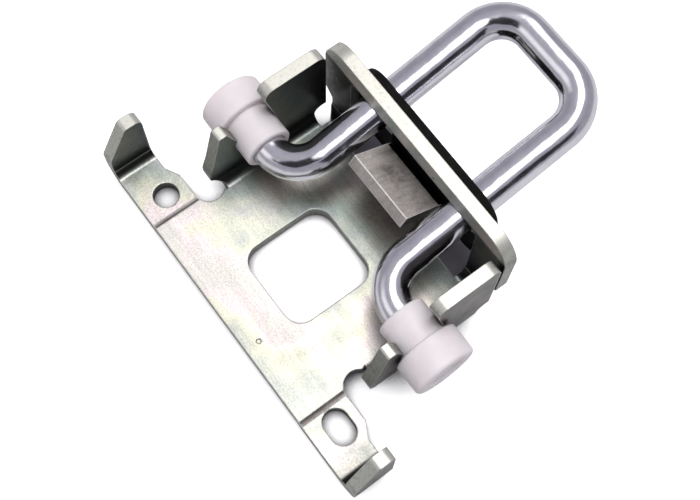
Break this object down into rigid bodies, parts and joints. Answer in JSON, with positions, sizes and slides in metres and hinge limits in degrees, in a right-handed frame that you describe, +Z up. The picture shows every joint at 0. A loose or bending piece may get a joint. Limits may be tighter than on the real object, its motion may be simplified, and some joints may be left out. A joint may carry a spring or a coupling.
{
  "type": "folded bracket with tilting wire bow",
  "caption": "Folded zinc-plated sheet bracket with screw ears, and a round-wire bow that tilts in stepped plastic rollers seated in its side walls, with a rubber pad on the flange.",
  "frame": {"origin": "on the mounting plane under the two ears, midway between their round hole and slot", "axes": "+X along the bracket from the round hole to the slot, +Y from the ears towards the wire loop, +Z up from the mounting plane"},
  "size_m": [0.0934, 0.0898, 0.035],
  "materials": {
    "zinc_plated_sheet": "bright zinc plating, semi-gloss, faintly iridescent",
    "chrome_wire": "bright plated, mirror-like",
    "white_plastic": "natural milky nylon, soft gloss",
    "black_rubber": "matt"
  },
  "bodies": {
    "bracket": {"bracket": "zinc_plated_sheet", "pad": "black_rubber"},
    "bow": {"bow": "chrome_wire"},
    "roller_left": {"roller_left": "white_plastic"},
    "roller_right": {"roller_right": "white_plastic"}
  },
  "joints": [
    {"name": "bow_tilt", "type": "hinge", "parent": "bracket", "child": "bow", "pos_m": [0, 0.0226, 0.0155], "axis": [1, 0, 0], "range_deg": [-22, 0.8]},
    {"name": "roller_left_spin", "type": "hinge", "parent": "bracket", "child": "roller_left", "pos_m": [-0.035, 0.0226, 0.0155], "axis": [1, 0, 0], "continuous": true},
    {"name": "roller_right_spin", "type": "hinge", "parent": "bracket", "child": "roller_right", "pos_m": [0.035, 0.0226, 0.0155], "axis": [1, 0, 0], "continuous": true}
  ]
}
